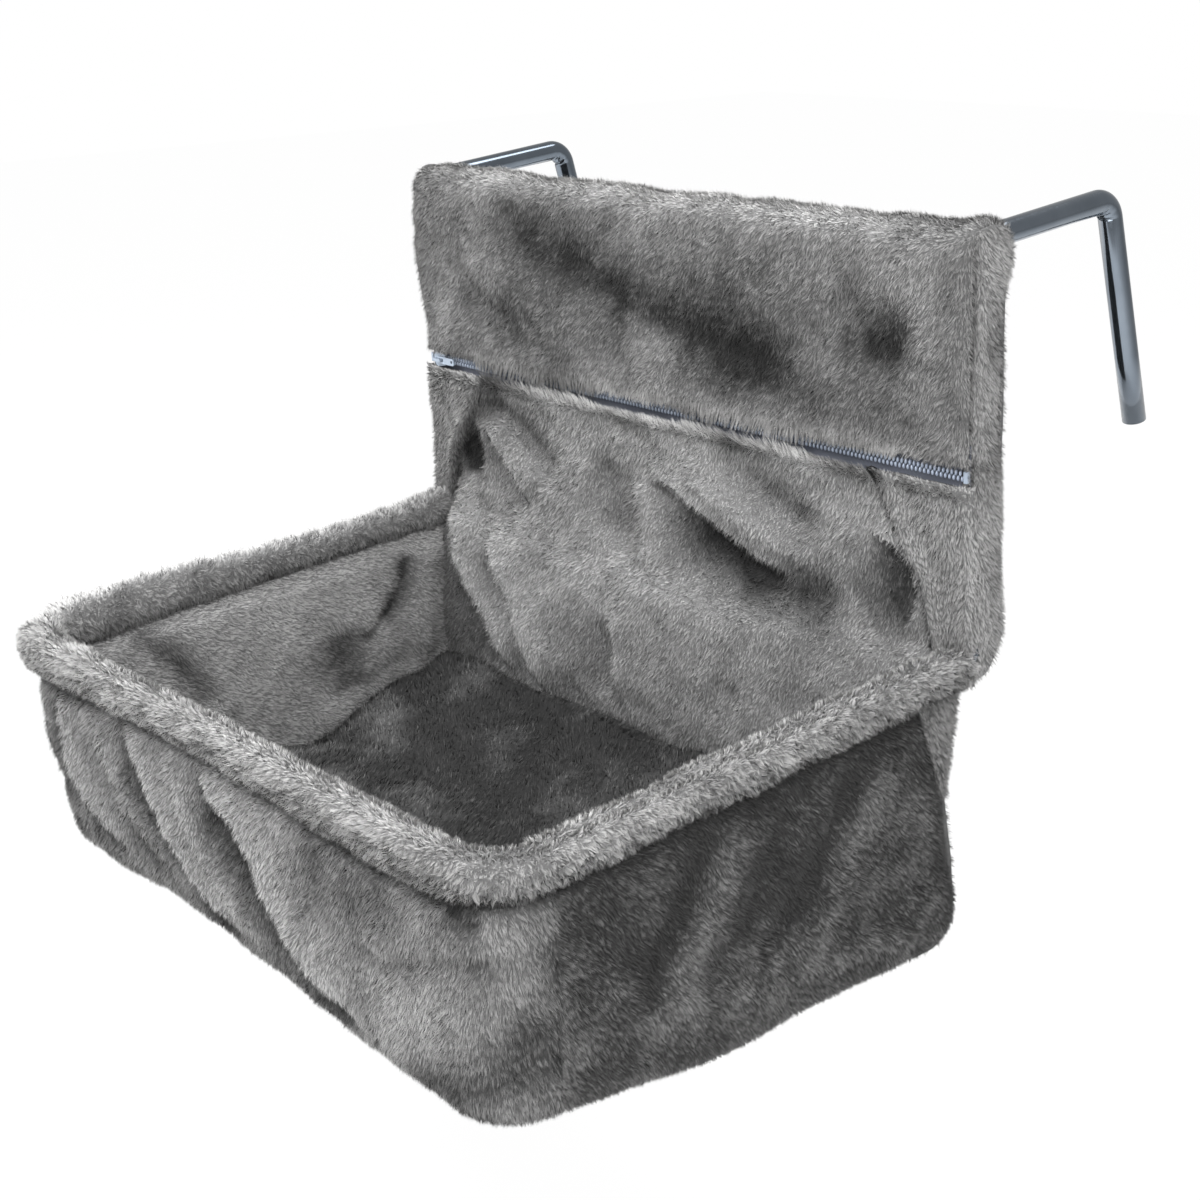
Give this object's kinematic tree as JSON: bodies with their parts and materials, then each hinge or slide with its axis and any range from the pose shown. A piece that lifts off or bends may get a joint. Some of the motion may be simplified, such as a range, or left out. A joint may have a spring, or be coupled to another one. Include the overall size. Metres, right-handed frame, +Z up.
{
  "type": "radiator cat bed",
  "caption": "Plush hammock basket with a floor pad and zipped back rest, hung from a radiator by a bent steel tube frame with hooks.",
  "frame": {"origin": "on the radiator's top edge, midway between the undersides of the two hook arms", "axes": "+X to the right seen from the room, +Y back to the wall, +Z up"},
  "size_m": [0.4396, 0.4373, 0.364],
  "materials": {
    "tube": "polished, bright plated steel tube",
    "plush": "short grey plush with brushed light and dark patches",
    "pad_plush": "short grey plush, a little darker",
    "base_cloth": "smooth dark woven cloth",
    "board": "plain hardboard",
    "zip_tape": "woven tape, grey with a purple cast",
    "zip_coil": "nylon coil",
    "zip_metal": "blue-grey painted metal"
  },
  "bodies": {
    "bed": {"back_lining": "plush", "base_panel": "base_cloth", "floor_pad": "pad_plush", "front_lining": "plush", "front_outer_panel": "plush", "front_rim_sleeve": "plush", "front_rim_tube": "tube", "left_border_strip": "plush", "left_end_stop": "zip_metal", "left_gusset": "plush", "left_lining": "plush", "left_outer_panel": "plush", "left_rim_sleeve": "plush", "left_side_tube": "tube", "left_wedge": "plush", "lower_coil": "zip_coil", "lower_tape": "zip_tape", "pad_board": "board", "pocket_front_panel": "plush", "rear_cross_tube": "tube", "rear_panel": "plush", "right_border_strip": "plush", "right_end_stop": "zip_metal", "right_gusset": "plush", "right_lining": "plush", "right_outer_panel": "plush", "right_rim_sleeve": "plush", "right_side_tube": "tube", "right_wedge": "plush", "top_cross_tube": "tube", "upper_coil": "zip_coil", "upper_tape": "zip_tape"},
    "slider": {"zip_slider": "zip_metal"},
    "pull": {"zip_pull": "zip_metal"}
  },
  "joints": [
    {"name": "zip_slide", "type": "slide", "parent": "bed", "child": "slider", "axis": [1, 0, 0], "range_m": [0, 0.395]},
    {"name": "pull_hinge", "type": "hinge", "parent": "slider", "child": "pull", "pos_m": [-0.203, -0.06321, -0.10871], "axis": [0, 0.0419, -0.9991], "range_deg": [0, 150]}
  ]
}
